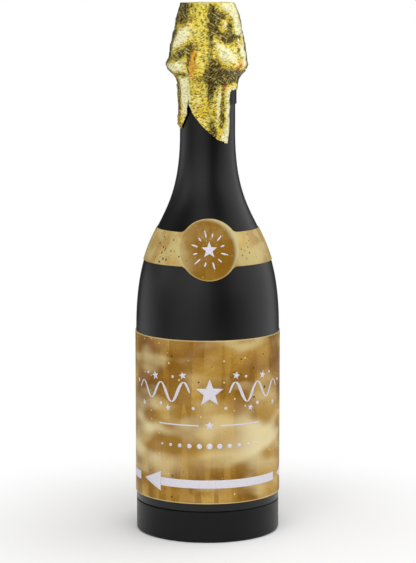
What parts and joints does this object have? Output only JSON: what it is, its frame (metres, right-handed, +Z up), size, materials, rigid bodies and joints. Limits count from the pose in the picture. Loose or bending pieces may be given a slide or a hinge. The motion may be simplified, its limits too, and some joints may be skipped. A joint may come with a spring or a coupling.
{
  "type": "confetti popper",
  "caption": "Twist-to-fire confetti popper shaped as a black champagne bottle, with gold labels, a torn gold foil cap over the stopper, and a turning base that opens an air valve.",
  "frame": {"origin": "centre of the foot ring, on the surface that the popper stands on", "axes": "+Z up along the bottle's axis, -Y the front with the medallion, +X to the right seen from the front"},
  "size_m": [0.0808, 0.0808, 0.2947],
  "materials": {
    "bottle_black": "satin",
    "label_gold": "satin",
    "foil_gold": "polished",
    "cork": "matte",
    "card": "matte",
    "white_plastic": "satin",
    "seal_rubber": "matte",
    "can_aluminium": "satin",
    "plug_plastic": "gloss",
    "pin_steel": "satin",
    "felt": "matte",
    "confetti_gold": "gloss",
    "confetti_white": "satin"
  },
  "bodies": {
    "bottle": {"bottle_shell": "bottle_black", "body_label": "label_gold", "shoulder_label": "label_gold", "muzzle_collar": "bottle_black", "breech_housing": "white_plastic", "barrel_tube": "card"},
    "base": {"twist_base": "bottle_black", "air_cylinder": "can_aluminium", "cylinder_gasket": "seal_rubber", "valve_body": "white_plastic", "breech_seal": "seal_rubber", "crimp_ring": "can_aluminium"},
    "valve": {"valve_plug": "plug_plastic", "plug_o_ring": "seal_rubber", "cross_pin": "pin_steel"},
    "charge": {"wad": "felt", "confetti_gold": "confetti_gold", "confetti_white": "confetti_white"},
    "cap": {"stopper": "cork", "foil_cap": "foil_gold"}
  },
  "joints": [
    {"name": "base_twist", "type": "hinge", "parent": "bottle", "child": "base", "pos_m": [0, 0, 0.0175], "axis": [0, 0, -1], "range_deg": [0, 90]},
    {"name": "plug_lift", "type": "slide", "parent": "bottle", "child": "valve", "axis": [0, 0, 1], "range_m": [0, 0.006]},
    {"name": "cap_pop", "type": "slide", "parent": "bottle", "child": "cap", "axis": [0, 0, 1], "range_m": [0, 0.145]},
    {"name": "charge_shot", "type": "slide", "parent": "bottle", "child": "charge", "axis": [0, 0, 1], "range_m": [0, 0.145]}
  ],
  "couplings": [
    {"joint": "plug_lift", "follows": "base_twist", "m_per_rad": 0.0038197},
    {"joint": "charge_shot", "follows": "cap_pop", "ratio": 1}
  ]
}
